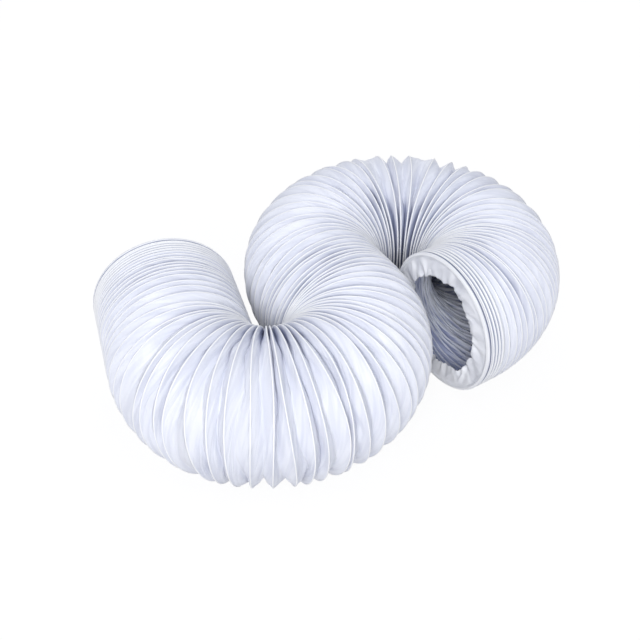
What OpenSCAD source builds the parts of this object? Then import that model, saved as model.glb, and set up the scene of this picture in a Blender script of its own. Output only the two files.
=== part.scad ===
// Flexible PVC duct, pushed together and laid on the floor in an S.
// A wire helix is laminated into thin film. Every turn of wire lifts the film into a crest,
// and the film between two turns folds inwards into a valley.
// The origin is on the floor, under the middle of the duct's box. Units are millimetres.

/* [Duct] */
// Clear diameter inside the end cuffs, which push onto a 100 mm spigot
bore_d = 102; // [96:1:108]
// Height of the crests outside the cuff bore: wire and two plies of film
crest_h = 2; // [1.5:0.25:3]
// Thickness of the laminated film
film_t = 0.25; // [0.2:0.05:0.35]
// Length of the film from one turn of wire to the next, laid flat
web_w = 20; // [17:0.5:24]
// Sides of the polygon that stands for one turn
sides = 16; // [12:1:16]

/* [Cuffs] */
// Length of each end cuff, where the film is turned in over the last turns
cuff_l = 15; // [10:1:25]
// Width of the smooth band at the mouth of each cuff
rim_w = 4; // [2:0.5:6]
// Turns of wire under each cuff
cuff_turns = 4; // [2:1:5]
// Depth of the grooves between those turns
cuff_groove = 0.8; // [0.4:0.1:1.2]

/* [Lay] */
// Straight stretch behind the left cuff
left_run = 61; // [50:1:75]
// Radius left open at the crease inside the first bend
crease_1 = 8; // [7:0.5:12]
// Angle that the first bend turns, to the left
bend_1 = 192; // [180:1:195]
// Straight stretch between the bends
mid_run = 31; // [26:1:45]
// Radius left open at the crease inside the second bend
crease_2 = 15.5; // [14:0.5:22]
// Angle that the second bend turns, to the right
bend_2 = 267; // [250:1:268]

/* [Turns] */
// Turns of wire in the left run, where the duct is pushed together
left_turns = 13; // [10:1:15]
// Turns of wire in the first bend
bend_1_turns = 33; // [26:1:35]
// Turns of wire between the bends
mid_turns = 7; // [5:1:9]
// Turns of wire in the second bend
bend_2_turns = 44; // [36:1:46]

/* [Hidden] */

film_white = [0.90, 0.91, 0.95];
cuff_white = [0.95, 0.96, 0.98];

// Radii of the section
bore_r = bore_d / 2;
crest_r = bore_r + crest_h;
axis_z = crest_r;

// Spacing of the turns along each stretch, in rows of [share of its length, share of its turns]:
// pushed together at both ends and between the bends, and pulled apart over the second bend
LEFT_PACE = [[0.44, 0.6], [0.56, 0.4]];
BEND_1_PACE = [[0.65, 0.6], [0.35, 0.4]];
MID_PACE = [[1, 1]];
BEND_2_PACE = [[0.18, 0.18], [0.35, 0.25], [0.24, 0.18], [0.06, 0.07], [0.17, 0.32]];

// The lay, from the left cuff to the right: [length, angle turned, turns of wire, spacing]
radius_1 = crest_r + crease_1;
radius_2 = crest_r + crease_2;
LAY = [
    [left_run, 0, left_turns, LEFT_PACE],
    [radius_1 * bend_1 * PI / 180, bend_1, bend_1_turns, BEND_1_PACE],
    [mid_run, 0, mid_turns, MID_PACE],
    [radius_2 * bend_2 * PI / 180, -bend_2, bend_2_turns, BEND_2_PACE],
];
STRETCHES = [for (row = LAY, pace = row[3]) [row[0] * pace[0], row[1] * pace[0], row[2] * pace[1]]];

// The left cuff opens along +Y, so the duct starts off along -Y
start_heading = -90;

// Sum of a list, and of one column of the first n rows
function sum(list, n = 0) = n == len(list) ? 0 : list[n] + sum(list, n + 1);
function upto(column, n) = sum([for (k = [0 : 1 : n - 1]) STRETCHES[k][column]]);
RUN = [for (n = [0 : len(STRETCHES)]) upto(0, n)];
HEADING = [for (n = [0 : len(STRETCHES)]) start_heading + upto(1, n)];
TURN = [for (n = [0 : len(STRETCHES)]) upto(2, n)];
duct_l = RUN[len(STRETCHES)];
duct_turns = left_turns + bend_1_turns + mid_turns + bend_2_turns;

// Row of a list of sums that holds the value v
function row_of(sums, v, n = 0) =
    n >= len(STRETCHES) - 1 || v < sums[n + 1] ? n : row_of(sums, v, n + 1);

// Point reached after going t along a stretch from p with heading a: straight, or an arc
function along(p, a, length, angle, t) =
    angle == 0
        ? p + t * [cos(a), sin(a)]
        : let (r = length / (angle * PI / 180), b = a + angle * t / length)
          p + r * [sin(b) - sin(a), cos(a) - cos(b)];
// Point where the row n starts
function joint(n) =
    n == 0
        ? [0, 0]
        : let (row = STRETCHES[n - 1]) along(joint(n - 1), HEADING[n - 1], row[0], row[1], row[0]);
JOINTS = [for (n = [0 : len(STRETCHES)]) joint(n)];

// Centreline at the distance s: [x, y, heading, curvature to the left]
function centre(s) =
    let (n = row_of(RUN, s),
         t = s - RUN[n],
         row = STRETCHES[n],
         p = along(JOINTS[n], HEADING[n], row[0], row[1], t))
    [p[0], p[1], HEADING[n] + row[1] * t / row[0], row[1] * PI / 180 / row[0]];

// Distance along the centreline at the turn u: by the rows alone, and averaged over some turns
// on either side, so that the pitch changes gradually
blend_turns = 1.5;
BLEND = [-1, -0.5, 0, 0.5, 1];
function plain_s(u) =
    let (n = row_of(TURN, u)) RUN[n] + (u - TURN[n]) * STRETCHES[n][0] / STRETCHES[n][2];
function turn_s(u) =
    let (reach = min(blend_turns, u, duct_turns - u))
    reach <= 0 ? plain_s(u) : sum([for (b = BLEND) plain_s(u + b * reach)]) / len(BLEND);

// The turns don't lie evenly. Waves run on from turn to turn: [share of the spacing, degrees for
// each turn, waves around the duct, phase]. They fade out over the last turns at either end.
SWAY = [
    [0.14, 146, 1, 40],
    [0.11, 97, -1, 0],
    [0.09, 61, 2, 200],
    [0.07, 173, 0, 110],
    [0.26, 23, 1, 70],
    [0.22, 37, -1, 10],
];
fade_turns = 4;
function sway(u, a) = sum([for (w = SWAY) w[0] * sin(w[1] * u + w[2] * a + w[3])]);
function smooth(t) = let (v = max(0, min(1, t))) v * v * (3 - 2 * v);
function fade(u) = smooth(min(u, duct_turns - u) / fade_turns);

// Distance along the centreline at which the wire passes the angle a of the section
function wire_s(turn, a) =
    let (u = max(0, min(duct_turns, turn)),
         step = turn_s(min(duct_turns, u + 0.5)) - turn_s(max(0, u - 0.5)))
    turn_s(u) + fade(u) * step * sway(u, a);

// Frame correction: the box of the duct is centred on the origin
samples = 720;
SAMPLES = [for (k = [0 : samples]) centre(duct_l * k / samples)];
LEFT_MOUTH = JOINTS[0] - cuff_l * [cos(start_heading), sin(start_heading)];
end_heading = HEADING[len(STRETCHES)];
RIGHT_MOUTH = JOINTS[len(STRETCHES)] + cuff_l * [cos(end_heading), sin(end_heading)];
ENDS = [
    [LEFT_MOUTH[0], LEFT_MOUTH[1], start_heading],
    [RIGHT_MOUTH[0], RIGHT_MOUTH[1], end_heading],
];
ALL = concat(SAMPLES, ENDS);
// Reach of the outside from a point of the centreline, along X for k = 0 and along Y for k = 1
function beside(c, k) = crest_r * abs(k == 0 ? sin(c[2]) : cos(c[2]));
function middle(k) =
    (min([for (c = ALL) c[k] - beside(c, k)]) + max([for (c = ALL) c[k] + beside(c, k)])) / 2;
OFFSET = [-middle(0), -middle(1)];

// Depth of the fold: the film keeps its length, so it hangs deeper where the turns are close.
// Towards either end it fades to the least fold, where the film runs out flat.
least_fold = 0.8;
function fold(pitch, u) =
    let (full = sqrt(max(pow(web_w / 2, 2) - pow(pitch / 2, 2), pow(least_fold, 2))))
    least_fold + (full - least_fold) * fade(max(0, min(duct_turns, u)));

// Point of the sleeve at the turn u and the side j, counted from the floor. kind 0 is a crest,
// 1 the valley halfway between two crests, 2 the end face. layer 0 is the outside of the film
// and 1 its inside.
function sleeve_point(u, j, kind, layer) =
    let (a = 360 * j / sides - 90,
         before = wire_s(u - 0.5, a),
         after = wire_s(u + 0.5, a),
         c = centre(kind == 1 ? (before + after) / 2 : wire_s(u, a)),
         side = [-sin(c[2]) * cos(a), cos(c[2]) * cos(a), sin(a)],
         pitch = (after - before) * (1 - crest_r * cos(a) * c[3]),
         depth = fold(pitch, u),
         wall = min(film_t * sqrt(1 + pow(2 * depth / pitch, 2)), depth / 2),
         r = kind == 0 ? crest_r : kind == 1 ? crest_r - depth : crest_r - least_fold / 2,
         inner = kind == 2 ? bore_r + film_t : r - wall)
    [c[0] + OFFSET[0], c[1] + OFFSET[1], axis_z] + (layer == 0 ? r : inner) * side;

module pleated_sleeve() {
    // Rows of points: the end face, a crest and a valley for each turn, and the other end face
    half_turns = 2 * duct_turns - 2;
    rows = half_turns + 3;
    ring = rows * sides;
    points = [for (layer = [0, 1]) each concat(
        [for (j = [0 : sides - 1]) sleeve_point(0, j, 2, layer)],
        [for (i = [0 : half_turns], j = [0 : sides - 1])
            sleeve_point(i / 2 + j / sides, j, i % 2, layer)],
        [for (j = [0 : sides - 1]) sleeve_point(duct_turns, j, 2, layer)])];
    // Number of the point in row i at side j. A row runs on into the row one turn further.
    // The first crest and valley grow out of the end face, and the last ones run out into the other.
    function at(i, j, layer) =
        layer * ring + (j == 0 ? (i < 3 ? 0 : i * sides)
            : j < sides ? i * sides + j
            : i == 0 ? 0
            : min(i + 2, rows - 1) * sides);
    function turned(face, layer) = layer == 0 ? face : [face[2], face[1], face[0]];
    faces = concat(
        [for (layer = [0, 1], i = [0 : rows - 2], j = [0 : sides - 1])
            let (a = at(i, j, layer),
                 b = at(i, j + 1, layer),
                 c = at(i + 1, j + 1, layer),
                 d = at(i + 1, j, layer))
            each [if (b != c) turned([a, b, c], layer), if (d != a && d != c) turned([a, c, d], layer)]],
        [for (i = [0, rows - 1], j = [0 : sides - 1])
            let (a = at(i, j, 0), b = at(i, j + 1, 0), c = at(i, j + 1, 1), d = at(i, j, 1))
            each (i == 0 ? [[b, a, c], [c, a, d]] : [[a, b, c], [a, c, d]])]);
    color(film_white) polyhedron(points, faces, convexity = 20);
}

// Section of a cuff, from the mouth at x = 0: a smooth bore, the rolled edge, and the grooved outside
edge_r = crest_h / 2;
edge_sides = 48;
round_sides = 96;
cut_past = 0.1;
module cuff_section() {
    groove_w = (cuff_l - rim_w) / cuff_turns;
    difference() {
        union() {
            translate([edge_r, bore_r]) square([cuff_l - edge_r, crest_h]);
            translate([edge_r, bore_r + edge_r]) circle(edge_r, $fn = edge_sides);
        }
        for (k = [0 : cuff_turns - 1])
            translate([rim_w + k * groove_w, crest_r])
                polygon([[0, cut_past], [groove_w, cut_past], [groove_w / 2, -cuff_groove]]);
    }
}

// A cuff with its mouth at p, opening along the heading a
module cuff(p, a) {
    color(cuff_white)
        translate([p[0] + OFFSET[0], p[1] + OFFSET[1], axis_z]) rotate([0, 0, a]) rotate([0, -90, 0])
            rotate_extrude($fn = round_sides) mirror([1, -1]) cuff_section();
}

module left_cuff() { cuff(LEFT_MOUTH, start_heading + 180); }
module right_cuff() { cuff(RIGHT_MOUTH, end_heading); }

pleated_sleeve();
left_cuff();
right_cuff();
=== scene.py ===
import math

import bmesh
import bpy
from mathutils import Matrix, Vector, noise


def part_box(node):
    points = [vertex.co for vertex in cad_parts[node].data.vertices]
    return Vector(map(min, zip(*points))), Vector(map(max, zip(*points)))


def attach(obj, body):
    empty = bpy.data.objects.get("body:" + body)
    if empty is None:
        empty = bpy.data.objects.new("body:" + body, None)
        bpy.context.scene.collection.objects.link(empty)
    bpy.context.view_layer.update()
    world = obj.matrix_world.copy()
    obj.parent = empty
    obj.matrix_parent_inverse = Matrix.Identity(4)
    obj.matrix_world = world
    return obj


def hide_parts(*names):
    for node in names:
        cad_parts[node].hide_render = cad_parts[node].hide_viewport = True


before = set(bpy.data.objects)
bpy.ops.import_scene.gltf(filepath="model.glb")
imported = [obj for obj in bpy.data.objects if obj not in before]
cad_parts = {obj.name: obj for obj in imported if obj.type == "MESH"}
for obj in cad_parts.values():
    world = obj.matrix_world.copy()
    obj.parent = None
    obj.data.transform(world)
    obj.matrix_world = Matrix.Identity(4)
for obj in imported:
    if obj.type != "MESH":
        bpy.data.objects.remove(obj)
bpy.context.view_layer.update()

MM = 0.001

# The duct's section. The left cuff gives the radius of the crests and the height of the axis
left_low, left_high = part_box("left_cuff")
CREST_R = (left_high.z - left_low.z) / 2
AXIS_Z = (left_high.z + left_low.z) / 2
CUFF_L = 15 * MM
# The smooth band between a cuff's last turn of wire and its mouth
BAND_L = 4 * MM
# The film from one turn of wire to the next, laid flat
WEB_W = 20 * MM
# Depth of the folds in the cuffs, and the least depth where the turns lie far apart
CUFF_FOLD = 1.5 * MM
LEAST_FOLD = 2.8 * MM
FILM_T = 0.25 * MM
# The wire with the film over it
BEAD_R = 0.5 * MM

# The lay from the left cuff to the right: length, angle turned to the left, turns of wire, and
# their spacing as shares of the length and of the turns
RADIUS_1 = CREST_R + 8 * MM
RADIUS_2 = CREST_R + 15.5 * MM
BEND_1 = math.radians(192)
BEND_2 = math.radians(267)
LAY = [
    (61 * MM, 0, 13, [(0.44, 0.6), (0.56, 0.4)]),
    (RADIUS_1 * BEND_1, BEND_1, 33, [(0.65, 0.6), (0.35, 0.4)]),
    (31 * MM, 0, 7, [(1, 1)]),
    (RADIUS_2 * BEND_2, -BEND_2, 44,
     [(0.18, 0.18), (0.35, 0.25), (0.24, 0.18), (0.06, 0.07), (0.17, 0.32)]),
]
LEFT_MOUTH = Vector(((left_low.x + left_high.x) / 2, left_high.y, AXIS_Z))
LEFT_HEADING = -math.pi / 2
DUCT_L = sum(row[0] for row in LAY)
DUCT_TURNS = sum(row[2] for row in LAY)
LENGTH = CUFF_L + DUCT_L + CUFF_L
CUFF_TURNS = 4
TURNS = CUFF_TURNS + DUCT_TURNS + CUFF_TURNS
SPACING = [(length * share, turns * part)
           for length, angle, turns, paces in LAY for share, part in paces]
# The spacing is averaged over this many turns to either side, at these shares of them
BLEND_TURNS = 1.5
BLEND = [-1, -0.5, 0, 0.5, 1]
# Turns behind each cuff over which the film comes free
FADE_TURNS = 4

# Waves that run on from turn to turn: share of the spacing, degrees a turn, waves round, phase
SWAY = [(0.14, 146, 1, 40), (0.11, 97, -1, 0), (0.09, 61, 2, 200), (0.07, 173, 0, 110),
        (0.26, 23, 1, 70), (0.22, 37, -1, 10)]

# The film's grid: rows from one turn of wire to the next, and steps round the duct
ROWS = 14
HALF = ROWS // 2
BEAD_ROWS = 2
COLUMNS = 120
CUFF_COLUMNS = 240
STEPS = 240
# A turn is counted from its lowest point
FIRST_ANGLE = -math.pi / 2
# Turns of wire closer than this lie on each other, and points closer than the second are one
TOUCHING = 1e-7
SAME_POINT = 1e-7


def rise(value, low, high):
    """0 below low, 1 above high, and an even slope between."""
    t = max(0.0, min(1.0, (value - low) / (high - low)))
    return t * t * (3 - 2 * t)


def chance(*place):
    """A value from about -1 to 1 that changes gradually from place to place. Fixed numbers in
    the place keep one pattern apart from the next."""
    return noise.noise(Vector(place))


def centre(distance):
    """Point and heading of the centreline at a distance from the left mouth."""
    runs = [(CUFF_L, 0)] + [(length, angle) for length, angle, turns, paces in LAY] + [(CUFF_L, 0)]
    point = LEFT_MOUTH.copy()
    heading = LEFT_HEADING
    for number, (length, angle) in enumerate(runs):
        part = distance if number == len(runs) - 1 else min(distance, length)
        if angle:
            radius = length / angle
            end = heading + part / radius
            point += radius * Vector((math.sin(end) - math.sin(heading),
                                      math.cos(heading) - math.cos(end), 0))
            heading = end
        else:
            point += part * Vector((math.cos(heading), math.sin(heading), 0))
        distance -= part
        if distance <= 0:
            break
    return point, heading


def outward_at(heading, angle):
    """Direction out from the centreline at an angle of the section, 0 to the left and up at 90."""
    return Vector((-math.sin(heading) * math.cos(angle), math.cos(heading) * math.cos(angle),
                   math.sin(angle)))


def even_distance(turn):
    """Distance along the duct of a turn behind the left cuff, by the even stretches alone."""
    distance = 0.0
    for length, turns in SPACING:
        part = min(turn, turns)
        distance += length * part / turns
        turn -= part
        if turn <= 0:
            break
    return distance


def mean_distance(turn):
    """The same, averaged over some turns on either side, so that the spacing changes gradually."""
    turn = max(0.0, min(float(DUCT_TURNS), turn))
    reach = min(BLEND_TURNS, turn, DUCT_TURNS - turn)
    return sum(even_distance(turn + reach * share) for share in BLEND) / len(BLEND)


def free(turn):
    """How freely a turn lies: 0 at the cuffs and 1 along the duct."""
    return rise(min(turn, DUCT_TURNS - turn), 0, FADE_TURNS)


def wire(step):
    """A point of the wire's crest, counted in steps: place, outward direction and distance."""
    angle = 2 * math.pi * step / STEPS + FIRST_ANGLE
    turn = max(-CUFF_TURNS, min(DUCT_TURNS + CUFF_TURNS, step / STEPS - CUFF_TURNS))
    if turn < 0:
        distance = CUFF_L + (CUFF_L - BAND_L) * turn / CUFF_TURNS
    elif turn > DUCT_TURNS:
        distance = CUFF_L + DUCT_L + (CUFF_L - BAND_L) * (turn - DUCT_TURNS) / CUFF_TURNS
    else:
        spacing = mean_distance(turn + 0.5) - mean_distance(turn - 0.5)
        swayed = sum(share * math.sin(math.radians(rate * turn + phase) + waves * angle)
                     for share, rate, waves, phase in SWAY)
        distance = CUFF_L + mean_distance(turn) + free(turn) * spacing * swayed
    point, heading = centre(distance)
    outward = outward_at(heading, angle)
    return point + CREST_R * outward, outward, distance


# All points of the wire, with one turn more before the left mouth and one behind the right
WIRE = {step: wire(step) for step in range(-STEPS, (TURNS + 2) * STEPS + 1)}

# How the film lies between two turns. Gaps and lengths along the wire are in millimetres.
# The most that the bead's radius may take of a gap
BEAD_SHARE = 0.4
# Gaps over which crowded film comes open
OPEN_GAP = (2, 9)
# How far the valley strays from the middle in crowded film, how much more in open film, and the
# furthest, all as shares of the gap
STRAY, OPEN_STRAY, FURTHEST = 0.12, 0.5, 0.3
STRAY_WAVE = 75
# How much shallower crumpled folds are, and how much that varies
CRUMPLED, CRUMPLED_RANGE = 0.3, 1.6
CRUMPLED_WAVE = 42
# The least share of its depth that a valley off the middle keeps, squared
LEAST_KEPT = 0.1
# Where the film leaves the bead: how far across, as a share of the bead's radius, and how far in
# for each part across. Then the same shares across and out for the row before
LEAVING_ACROSS, LEAVING_SLOPE = 0.9, 1.25
BESIDE_BEAD = (0.8, -0.45)
# The most that a flank bellies out, in metres and as a share of its width, and the gaps over
# which the film is drawn tight, with the share that it loses there
MOST_BELLY, BELLY_SHARE = 1.5 * MM, 0.3
TIGHT_GAP, TIGHT_LOSS = (9, 16), 0.7
# The belly: its mean, its swelling, its creases, and the least and the most of all three. Then
# how far along the wire these change, and how fast the creases change across and how they slant
BELLY, SWELLING, CREASES, BELLY_RANGE = 0.45, 1.0, 1.3, (-0.9, 1.3)
SWELLING_WAVE, CREASE_WAVE = 36, 26
CREASES_ACROSS, CREASE_SLANT = 2.4, 30
# How far a fold of a given depth leans along the duct, and how fast that changes round the duct
# and along it
LEAN, LEANING_DEPTH, LEAN_POWER = 3.2 * MM, 10 * MM, 1.4
LEAN_ROUND, LEAN_WAVE = 2.8, 13 * MM
# Spacings over which the folds take on painted shade, over which they lose it again, and how much
# of it
SHADED_SPACING, UNSHADED_SPACING, SHADE_LOSS = (0.3, 2.8), (2.3, 6.8), 0.85


def valley_at(gap, loose, arc):
    """Where the valley lies, as a share of the gap, and how deep. The film keeps its length."""
    wide = rise(gap / MM, *OPEN_GAP)
    valley = 0.5 + loose * (STRAY + OPEN_STRAY * wide) * chance(arc / STRAY_WAVE, 3.1, 0)
    valley = max(0.5 - FURTHEST, min(0.5 + FURTHEST, valley))
    full = math.sqrt(max((WEB_W / 2) ** 2 - (gap / 2) ** 2, LEAST_FOLD ** 2))
    full *= math.sqrt(max(LEAST_KEPT, 1 - ((valley - 0.5) * gap / (WEB_W / 2)) ** 2))
    crumpled = 0.5 * (1 - wide) * (1 + CRUMPLED_RANGE * chance(arc / CRUMPLED_WAVE, 5.7, 0))
    full *= 1 - CRUMPLED * crumpled
    return valley, CUFF_FOLD + (full - CUFF_FOLD) * loose


def belly_at(gap, valley_w, loose, arc, share, side):
    """How far out a flank of film bellies at a share of its way down."""
    limit = loose * min(MOST_BELLY, BELLY_SHARE * valley_w)
    limit *= 1 - TIGHT_LOSS * rise(gap / MM, *TIGHT_GAP)
    swelling = chance(arc / SWELLING_WAVE, 3.0 * side, 4.2)
    across = CREASES_ACROSS * share + arc / CREASE_SLANT
    crease = chance(arc / CREASE_WAVE, across, 7.0 * side)
    least, most = BELLY_RANGE
    return limit * max(least, min(most, BELLY + SWELLING * swelling + CREASES * crease))


def flank(start_w, valley_w, valley_d, share, belly):
    """A point between the wire and the valley: how far across from the wire, and how far out."""
    start_d = LEAVING_SLOPE * start_w
    across = valley_w - start_w
    down = valley_d - start_d
    length = math.hypot(across, down)
    if length == 0:
        return start_w, -start_d
    puff = belly * math.sin(math.pi * share) / length
    return start_w + across * share + down * puff, across * puff - start_d - down * share


def lean_at(step, distance, depth):
    """How far a loose fold leans. Neighbours lean together, so that they don't cross."""
    angle = 2 * math.pi * step / STEPS
    leaning = chance(LEAN_ROUND * math.cos(angle), LEAN_ROUND * math.sin(angle),
                     distance / LEAN_WAVE)
    return leaning * LEAN * (depth / LEANING_DEPTH) ** LEAN_POWER


def painted_shade_at(turn, step):
    """How much painted shade the folds take: little where turns touch, or where they lie far apart.
    The spacing is the mean of three."""
    before = WIRE[max(turn - 1, -1) * STEPS + step][0]
    after = WIRE[(turn + 2) * STEPS + step][0]
    spacing = (after - before).length / 3 / MM
    return rise(spacing, *SHADED_SPACING) * (1 - SHADE_LOSS * rise(spacing, *UNSHADED_SPACING))


def film_point(row, step):
    """A point of the film, and the painted shade that its depth in a fold gives it, from 0 at a
    crest to 1.
    Rows count from the first turn of wire, ROWS to a turn."""
    turn, part = divmod(row, ROWS)
    start, outward, distance = WIRE[turn * STEPS + step]
    end, end_outward, end_distance = WIRE[(turn + 1) * STEPS + step]
    gap = (end - start).length
    if gap < TOUCHING:
        return start, 0.0
    side = 1 if part <= HALF else -1
    count = part if side == 1 else ROWS - part
    middle = turn + 0.5 + step / STEPS - CUFF_TURNS
    loose = free(max(0.0, min(float(DUCT_TURNS), middle)))
    arc = (turn + step / STEPS) * 2 * math.pi * CREST_R / MM
    valley, depth = valley_at(gap, loose, arc)
    valley_w = gap * (valley if side == 1 else 1 - valley)
    bead = min(BEAD_R, BEAD_SHARE * gap)
    if count == 0:
        across, out = 0.0, 0.0
    elif count < BEAD_ROWS:
        across, out = (bead * value for value in BESIDE_BEAD)
    else:
        share = (count - BEAD_ROWS) / (HALF - BEAD_ROWS)
        belly = belly_at(gap, valley_w, loose, arc, share, side)
        across, out = flank(LEAVING_ACROSS * bead, valley_w, depth, share, belly)
    share = across / gap if side == 1 else 1 - across / gap
    outward = outward.lerp(end_outward, share).normalized()
    lean = loose * lean_at(step, distance, max(0.0, -out))
    lean *= min(1.0, gap / (end_distance - distance))
    point = start.lerp(end, share) + out * outward + lean * (end - start) / gap
    # The second value is painted shade, from the depth below the bead as a share of the gap
    return point, painted_shade_at(turn, step) * min(1.0, max(0.0, -out - bead) / gap)


def film_grid(mesh, rows, columns, place, web):
    """Add a sheet of film. place gives its points and their painted shade, and web its rows as
    turns of wire.
    """
    flat = mesh.loops.layers.uv.get("film") or mesh.loops.layers.uv.new("film")
    # A layer that carries each point's painted shade to the material
    fold = mesh.verts.layers.float.get("fold") or mesh.verts.layers.float.new("fold")
    grid = bmesh.ops.create_grid(mesh, x_segments=rows, y_segments=columns, size=0.5)
    for vertex in grid["verts"]:
        row = round((vertex.co.x + 0.5) * rows)
        column = round((vertex.co.y + 0.5) * columns)
        vertex.co, vertex[fold] = place(row, column * STEPS // columns)
        for corner in vertex.link_loops:
            corner[flat].uv = (column / columns, (web(row) + 1) / (TURNS + 2))


def bellows(mesh, first, last, columns):
    """Add the film from row first to row last."""
    film_grid(mesh, last - first, columns, lambda row, step: film_point(first + row, step),
              lambda row: (first + row) / ROWS)


def finish_piece(name, mesh, node):
    """Make a piece of the film from a mesh: merged, given its thickness, and named."""
    bmesh.ops.remove_doubles(mesh, verts=mesh.verts, dist=SAME_POINT)
    bmesh.ops.reverse_faces(mesh, faces=mesh.faces)
    for face in mesh.faces:
        face.smooth = True
    data = bpy.data.meshes.new(name)
    mesh.to_mesh(data)
    mesh.free()
    piece = bpy.data.objects.new(name, data)
    bpy.context.collection.objects.link(piece)
    wall = piece.modifiers.new("wall", "SOLIDIFY")
    wall.thickness = FILM_T
    wall.offset = -1
    wall.material_offset = 1
    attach(piece, "root")
    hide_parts(node)
    return piece


# The pieces of the sleeve and their turns of wire. They meet in valleys, where no joint shows
STRETCHES = [
    ("left_run_film", 13), ("first_bend_film", 16), ("front_film", 17), ("middle_run_film", 7),
    ("second_bend_film", 29), ("closing_film", 15),
]
films = []
first = CUFF_TURNS * ROWS - HALF
for name, turns in STRETCHES:
    mesh = bmesh.new()
    bellows(mesh, first, first + turns * ROWS, COLUMNS)
    films.append(finish_piece(name, mesh, "pleated_sleeve"))
    first += turns * ROWS


# The mouths, in millimetres: from the first or last turn of wire over the band and its rolled
# edge, and inwards. Each row gives how far in from the mouth it lies, how far inside the crests,
# and the rows of film between it and the nearest wire. The rolled edge takes the painted highlight
# of the film over a wire, and counts as one
BAND = [(BAND_L / MM, 0, 0), (3.85, 0.6, 2), (3.7, 1.5, 4), (3.3, 2.0, 6), (2.95, 1.5, 6),
        (2.75, 0.6, 6), (2.3, 0.1, 6), (1.6, 0, 5), (0.9, 0.05, 4), (0.35, 0.4, 2),
        (0, 1.0, 0), (0, 1.6, 1), (0.2, 2.2, 3), (0.6, 2.7, 5), (0.9, 3.2, 6)]
BAND_END_IN, BAND_END = BAND[-1][:2]
# Painted shade in the groove between the last turn of wire and the band, by row
GROOVE_PAINTED_SHADE = {1: 0.4, 2: 1.0, 3: 1.0, 4: 1.0, 5: 0.4}
# Unevenness of the band, how often it changes round the mouth, and the rows over which it starts
BAND_WAVE, BAND_WAVES, BAND_WAVE_ROWS = 0.25, 2.2, (0, 3)

# The loose film inside a mouth, in rows and in millimetres
LOOSE_ROWS = 14
LOOSE_WEB_ROW = 5
# At the right mouth: how far inside the crests its edge lies, and the edge's tears as size and how
# often round it
RIGHT_EDGE = 17.5
RIGHT_TEARS = [(2.6, 2.1), (1.8, 7), (1.3, 24)]
# How far in it stands at the band and how much further at its edge, the least of it, the height
# of its ruffle, and the share of its width over which the ruffle grows to full height
RIGHT_IN, RIGHT_GAIN, LEAST_IN = 1.2, 0.9, 0.1
RUFFLE, RUFFLE_AT_BAND, RUFFLE_GROWS = 1.35, 0.3, 1 / 6
# The ruffle's panes: how often round the mouth, their slant, how sharp the folds between them
# are, and the share of finer creases and how often those come
PANES, PANE_SLANT, PANE_SHARPNESS = 4.9, 0.8, 3
CREASE_SHARE, CREASES_ROUND = 0.4, 13
# At the left mouth: length, tears as shares of it, and how far it stands off the wall at its
# edge, with the power by which it gets there
LEFT_LENGTH = 13
LEFT_TEARS = [(0.16, 3), (0.1, 11)]
LEFT_STANDS_OFF, LEFT_CURVE = 5.5, 1.3
# Its pleats: height, how often round the mouth, sharpness, and the finer creases as above
PLEAT_H, PLEATS, PLEAT_SHARPNESS = 1.6, 5.5, 2.2
LEFT_CREASE_SHARE, LEFT_CREASES_ROUND = 0.5, 14


def tears(ring, sizes):
    """How far the torn edge of the loose film strays, from its tears' sizes."""
    return sum(size * noise.noise(ring * often) for size, often in sizes)


def folds(place, sharpness):
    """Flat panes of film between sharp folds: 1 in a fold, and less off it."""
    return 1 - sharpness * abs(noise.noise(place))


def band_point(row, ring):
    """How far in and how far inside the crests a row of the band lies, slightly uneven."""
    depth, inside = BAND[row][:2]
    wave = BAND_WAVE * noise.noise(ring * BAND_WAVES) * rise(row, *BAND_WAVE_ROWS)
    return depth, max(0.0, inside - wave)


def right_film(share, ring):
    """The loose film at the right mouth stands across it, ruffled, down to a torn edge."""
    edge = RIGHT_EDGE - tears(ring, RIGHT_TEARS)
    # The folds run slantwise across the ruffle
    slanted = ring * PANES + Vector((share * ring.y, -share * ring.x, PANE_SLANT * share))
    fine = noise.noise(ring * CREASES_ROUND + Vector((0, 0, share)))
    pane = folds(slanted, PANE_SHARPNESS) + CREASE_SHARE * fine
    ruffle = RUFFLE * pane * min(1.0, RUFFLE_AT_BAND + share) * rise(share, 0, RUFFLE_GROWS)
    depth = max(LEAST_IN, RIGHT_IN + RIGHT_GAIN * share - ruffle)
    return depth, BAND_END + (edge - BAND_END) * share


def left_film(share, ring):
    """The loose film at the left mouth lies back along the wall."""
    length = LEFT_LENGTH * (1 + tears(ring, LEFT_TEARS))
    fine = noise.noise(ring * LEFT_CREASES_ROUND)
    pleat = folds(ring * PLEATS, PLEAT_SHARPNESS) + LEFT_CREASE_SHARE * fine
    off_wall = LEFT_STANDS_OFF * share ** LEFT_CURVE - PLEAT_H * pleat * share
    return BAND_END_IN + length * share, BAND_END + off_wall


def mouth_point(row, step, distance, inwards, loose_film, seed):
    """A point of the film at a mouth, and its painted shade. Rows count inwards from the wire."""
    angle = 2 * math.pi * step / STEPS + FIRST_ANGLE
    ring = Vector((math.cos(angle), math.sin(angle), seed))
    if row < len(BAND):
        depth, inside = band_point(row, ring)
    else:
        depth, inside = loose_film((row - len(BAND) + 1) / LOOSE_ROWS, ring)
    point, heading = centre(distance + inwards * depth * MM)
    radius = CREST_R - inside * MM
    return point + radius * outward_at(heading, angle), GROOVE_PAINTED_SHADE.get(row, 0.0)


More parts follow.
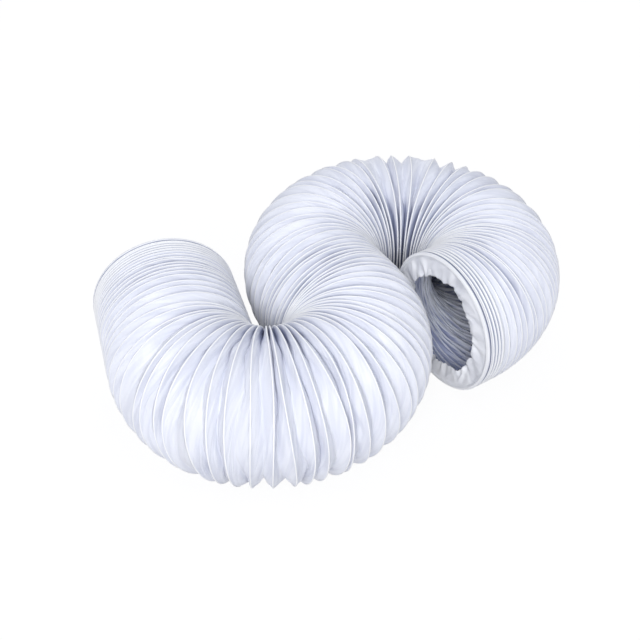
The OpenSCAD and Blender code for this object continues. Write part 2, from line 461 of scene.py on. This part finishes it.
def cuff_piece(name, node, first, last, distance, inwards, loose_film, seed):
    """A cuff: its own turns of wire, the band, the rolled edge and the film turned in."""
    mesh = bmesh.new()
    bellows(mesh, first, last, CUFF_COLUMNS)
    rows = len(BAND) + LOOSE_ROWS - 1

    def from_wire(row):
        return rows - row if inwards == 1 else row

    def place(row, step):
        return mouth_point(from_wire(row), step, distance, inwards, loose_film, seed)

    def web(row):
        number = from_wire(row)
        return (BAND[number][2] if number < len(BAND) else LOOSE_WEB_ROW) / ROWS - 1

    film_grid(mesh, rows, CUFF_COLUMNS, place, web)
    return finish_piece(name, mesh, node)


cuffs = [
    cuff_piece("left_mouth_film", "left_cuff", -ROWS, CUFF_TURNS * ROWS - HALF,
               0, 1, left_film, 3.0),
    cuff_piece("right_mouth_film", "right_cuff", (TURNS - CUFF_TURNS) * ROWS - HALF, TURNS * ROWS,
               LENGTH, -1, right_film, 8.0),
]


class Value:
    """A shader value. Arithmetic on it adds Math nodes."""

    def __init__(self, nodes, socket):
        self.nodes = nodes
        self.socket = socket

    def __add__(self, other):
        return self.nodes.math("ADD", self, other)

    def __sub__(self, other):
        return self.nodes.math("SUBTRACT", self, other)

    def __rsub__(self, other):
        return self.nodes.math("SUBTRACT", other, self)

    def __mul__(self, other):
        return self.nodes.math("MULTIPLY", self, other)

    __radd__ = __add__
    __rmul__ = __mul__


class Nodes:
    """The nodes of a material or of the world."""

    def __init__(self, owner, out):
        owner.use_nodes = True
        self.tree = owner.node_tree
        self.out = self.tree.nodes[out]

    def node(self, kind, settings=None, inputs=(), output=0):
        """Add a node: its type, its settings, and the values or links of its sockets."""
        made = self.tree.nodes.new(kind)
        for setting, value in (settings or {}).items():
            setattr(made, setting, value)
        pairs = inputs.items() if isinstance(inputs, dict) else enumerate(inputs)
        for key, value in pairs:
            if isinstance(value, Value):
                self.tree.links.new(value.socket, made.inputs[key])
            else:
                made.inputs[key].default_value = value
        return Value(self, made.outputs[output])

    def math(self, operation, *values, clamp=False):
        """The result of a Math node."""
        return self.node("ShaderNodeMath", {"operation": operation, "use_clamp": clamp}, values)

    def step(self, value, low, high):
        """0 below low, 1 above high, and an even slope between."""
        return self.node("ShaderNodeMapRange", {"interpolation_type": "SMOOTHSTEP"},
                         {"Value": value, "From Min": low, "From Max": high})

    def mix(self, share, first, second):
        """A blend of two colours, by the numbers that a Mix node's colour sockets have."""
        return self.node("ShaderNodeMix", {"data_type": "RGBA"}, {0: share, 6: first, 7: second}, 2)

    def noise(self, place, scale, detail):
        """Noise from 0 to 1, with its mean at a half."""
        return self.node("ShaderNodeTexNoise",
                         inputs={"Vector": place, "Scale": scale, "Detail": detail})

    def vector(self, *values):
        """Three numbers as a vector."""
        return self.node("ShaderNodeCombineXYZ", inputs=values)

    def part(self, vector, axis):
        """One number of a vector."""
        return self.node("ShaderNodeSeparateXYZ", inputs=[vector], output=axis)

    def ray(self, kind):
        """1 for rays of a kind."""
        return self.node("ShaderNodeLightPath", output="Is %s Ray" % kind)

    def seen(self):
        """1 for what the camera sees, straight or in something glossy or clear."""
        return self.math("ADD", self.ray("Camera") + self.ray("Glossy"), self.ray("Transmission"),
                         clamp=True)

    def feed(self, socket, value):
        """Link a value to a socket of the node that these nodes end in."""
        self.tree.links.new(value.socket, self.out.inputs[socket])


# The film's material. Long folds and fine wrinkles: how fast they change along the wire in each
# millimetre, how fast across from one turn of wire to the next, how far turns are kept apart, and
# how much the long ones slant in each millimetre
LONG_ROUND, LONG_ACROSS, LONG_APART, LONG_SLANT = 0.024, 8, 5.3, 0.06
FINE_ROUND, FINE_ACROSS, FINE_APART = 0.3, 1.4, 3.7
# Clouds in each metre
CLOUD_SCALE = 38
# Values of the long folds' noise over which painted shade in their hollows fades, as streaks, and
# how near its mean they make a crease
SHADED_STREAK, CREASE_WIDTH = (0.36, 0.6), 0.11
# Rows from the wire over which the film leaves it, outside and inside, and the painted highlight
# over the wire outside and its painted shade inside give way. Then rows over which the inside's
# painted shade in the grooves by the wire fades, which the long folds shift
OFF_WIRE, OFF_WIRE_INSIDE = (0.7, 2.2), (0, 1)
INSIDE_SHADE, INSIDE_SHIFT = (4.4, 5.8), 8
# Shares of the painted shade colour: painted shade in folds, random tone in clouds, and painted
# shade in the hollows of the long folds
FOLD_SHADE, CLOUD_TONE, STREAK_SHADE = 0.8, 0.06, 0.14
# Roughness: its least, what clouds add, and what the film off the wire adds
ROUGH, CLOUD_ROUGH, WEB_ROUGH = 0.3, 0.14, 0.06
# Relief: fine wrinkles, long folds and the creases cut into them
WRINKLE_H, LONG_H, CREASE_H = 0.5, 2.8, 0.5
RELIEF_STRENGTH, RELIEF_H = 0.4, 0.5 * MM
SPECULAR = 0.35


def film_with_painted_light(name, film, painted_shade_colour, painted_crest, deepest=1.0, inside=False):
    """White PVC film with fine wrinkles, painted shade in the folds, and over the wire a painted
    highlight outside and painted shade inside.
    """
    material = bpy.data.materials.new(name)
    film_nodes = Nodes(material, "Principled BSDF")
    film_nodes.out.inputs["Specular IOR Level"].default_value = SPECULAR
    # The flat film: turns of wire, the share across to the next one, rows of the grid from the
    # nearest wire, and millimetres along the wire
    sheet = film_nodes.node("ShaderNodeUVMap", {"uv_map": "film"})
    column = film_nodes.part(sheet, "X")
    row = film_nodes.part(sheet, "Y") * (TURNS + 2)
    turn = film_nodes.math("FLOOR", row)
    across = film_nodes.math("FRACT", row)
    from_wire = film_nodes.math("MINIMUM", across, 1 - across) * ROWS
    around = (turn + column) * (2 * math.pi * CREST_R / MM)
    place = film_nodes.node("ShaderNodeTexCoord", output="Object")
    cloud = film_nodes.noise(place, CLOUD_SCALE, detail=3)
    # Long folds run slantwise across the film, and fine wrinkles run from wire to wire
    slant = film_nodes.vector(around * LONG_ROUND, across * LONG_ACROSS + around * LONG_SLANT,
                          turn * LONG_APART)
    long_fold = film_nodes.noise(slant, scale=1, detail=1)
    fine = film_nodes.vector(around * FINE_ROUND, across * FINE_ACROSS, turn * FINE_APART)
    wrinkle = film_nodes.noise(fine, scale=1, detail=2.5)
    if inside:
        # Inside, painted shade over the wire and along the grooves beside it
        off_wire = film_nodes.step(from_wire, *OFF_WIRE_INSIDE)
        shifted = from_wire + INSIDE_SHIFT * (long_fold - 0.5)
        folded = 1 - film_nodes.step(shifted, *INSIDE_SHADE)
    else:
        off_wire = film_nodes.step(from_wire, *OFF_WIRE)
        # Painted shade in the folds, carried by the points
        fold = film_nodes.node("ShaderNodeAttribute", {"attribute_name": "fold"}, output="Fac")
        folded = film_nodes.step(fold, 0.0, deepest)
    # Painted shade in the hollows of the long folds
    streak_shade = 1 - film_nodes.step(long_fold, *SHADED_STREAK)
    shade_and_cloud_share = FOLD_SHADE * folded + CLOUD_TONE * cloud + STREAK_SHADE * streak_shade
    # The film's tone takes painted shade in folds and hollows, and a little random tone from the
    # clouds; over the wire comes the painted crest colour
    tone = film_nodes.mix(shade_and_cloud_share, (*film, 1), (*painted_shade_colour, 1))
    film_nodes.feed("Base Color", film_nodes.mix(off_wire, (*painted_crest, 1), tone))
    film_nodes.feed("Roughness", ROUGH + CLOUD_ROUGH * cloud + WEB_ROUGH * off_wire)
    crease = 1 - film_nodes.step(film_nodes.math("ABSOLUTE", long_fold - 0.5), 0.0, CREASE_WIDTH)
    height = off_wire * (WRINKLE_H * wrinkle + LONG_H * long_fold - CREASE_H * crease)
    film_nodes.feed("Normal", film_nodes.node("ShaderNodeBump", inputs={
        "Strength": RELIEF_STRENGTH, "Distance": RELIEF_H, "Height": height}))
    return material


# Colours: the painted highlight over a wire, and each film with the painted shade of its folds.
# Then the share of painted shade at which the outer films reach their full shade colour
# Painted highlight on the film over each turn of wire
PAINTED_CREST_HIGHLIGHT = (0.97, 0.973, 0.98)
SLEEVE_WHITE, SLEEVE_PAINTED_SHADE = (0.845, 0.86, 0.92), (0.32, 0.355, 0.505)
# The cuff's doubled film is paler, and whiter still as painted light on the flange
CUFF_WHITE_AND_PAINTED_LIGHT, CUFF_PAINTED_SHADE = (0.96, 0.967, 0.99), (0.22, 0.25, 0.38)
# The inner ply is bluer than the outside as painted shade
INNER_WHITE, INNER_PAINTED_SHADE = (0.85, 0.885, 1.0), (0.41, 0.455, 0.66)
SLEEVE_DEEPEST, CUFF_DEEPEST = 0.65, 0.32

sleeve_film = film_with_painted_light("white pvc film with painted light and shade", SLEEVE_WHITE, SLEEVE_PAINTED_SHADE, PAINTED_CREST_HIGHLIGHT, SLEEVE_DEEPEST)
cuff_film = film_with_painted_light("doubled pvc film with painted light and shade", CUFF_WHITE_AND_PAINTED_LIGHT, CUFF_PAINTED_SHADE, PAINTED_CREST_HIGHLIGHT, CUFF_DEEPEST)
# The inner ply has the same painted shade over the wire as deep in a fold
inner_ply = film_with_painted_light("inner ply with painted shade", INNER_WHITE, INNER_PAINTED_SHADE, INNER_PAINTED_SHADE, inside=True)
for piece in films:
    piece.data.materials.append(sleeve_film)
for piece in cuffs:
    piece.data.materials.append(cuff_film)
for piece in films + cuffs:
    piece.data.materials.append(inner_ply)


# Floor, light and camera
WHITE = (1, 1, 1, 1)
FLOOR_SIZE = 6
FLOOR_COLOUR = (0.6, 0.6, 0.62, 1)
FLOOR_GLOW = 1.08
# Share of plain lit floor that the camera sees, for the shadow
LIT_SHARE = 0.14
ROOM_COLOUR = (0.905, 0.93, 1, 1)
# Strength of the room's light at the level of the floor, and what it gains overhead
ROOM_LEVEL, ROOM_OVERHEAD = 0.33, 0.5
# Lamps: place, width and power
SOFTBOXES = {
    "key light": ((-0.55, -1.32, 1.05), 0.9, 16.5),
    "back light": ((0.35, 1.35, 0.75), 0.9, 4.2),
}
LAMP_TARGET = (0, 0, 0.05)
# The camera stands where the photograph was taken from, by the outline of the duct in it
CAMERA_PLACE = (-0.17498, -0.50537, 0.48035)
CAMERA_TARGET = (-0.02103, -0.01328, 0.050)
SENSOR_W = 36
LENS = 51.57


def aim(thing, place, target):
    """Put a lamp or the camera in its place, and turn it towards its target."""
    thing.location = place
    thing.rotation_euler = (Vector(target) - Vector(place)).to_track_quat("-Z", "Y").to_euler()


pale_floor = bpy.data.materials.new("pale floor")
studio = Nodes(pale_floor, "Material Output")
lit = studio.node("ShaderNodeBsdfDiffuse", inputs={"Color": FLOOR_COLOUR})
bright = studio.node("ShaderNodeEmission", inputs={"Color": WHITE, "Strength": FLOOR_GLOW})
studio.feed("Surface", studio.node("ShaderNodeMixShader", inputs=[
    studio.seen() * (1 - LIT_SHARE), lit, bright]))

floor_mesh = bmesh.new()
bmesh.ops.create_grid(floor_mesh, x_segments=1, y_segments=1, size=FLOOR_SIZE)
floor_data = bpy.data.meshes.new("floor")
floor_mesh.to_mesh(floor_data)
floor_mesh.free()
floor = bpy.data.objects.new("floor", floor_data)
bpy.context.collection.objects.link(floor)
floor.data.materials.append(pale_floor)

world = bpy.data.worlds.new("studio")
bpy.context.scene.world = world
sky = Nodes(world, "World Output")
height = sky.part(sky.node("ShaderNodeTexCoord", output="Generated"), "Z")
room = sky.node("ShaderNodeBackground", inputs={
    "Color": ROOM_COLOUR, "Strength": ROOM_LEVEL + ROOM_OVERHEAD * sky.math("MAXIMUM", height, 0)})
backdrop = sky.node("ShaderNodeBackground", inputs={"Color": WHITE, "Strength": 1})
sky.feed("Surface", sky.node("ShaderNodeMixShader", inputs=[sky.ray("Camera"), room, backdrop]))

for name, (place, width, power) in SOFTBOXES.items():
    light = bpy.data.lights.new(name, "AREA")
    light.shape = "DISK"
    light.size = width
    light.energy = power
    lamp = bpy.data.objects.new(name, light)
    bpy.context.collection.objects.link(lamp)
    aim(lamp, place, LAMP_TARGET)

lens = bpy.data.cameras.new("camera")
lens.sensor_width = SENSOR_W
lens.lens = LENS
camera = bpy.data.objects.new("camera", lens)
bpy.context.collection.objects.link(camera)
aim(camera, CAMERA_PLACE, CAMERA_TARGET)
bpy.context.scene.camera = camera
bpy.context.scene.view_settings.view_transform = "Standard"
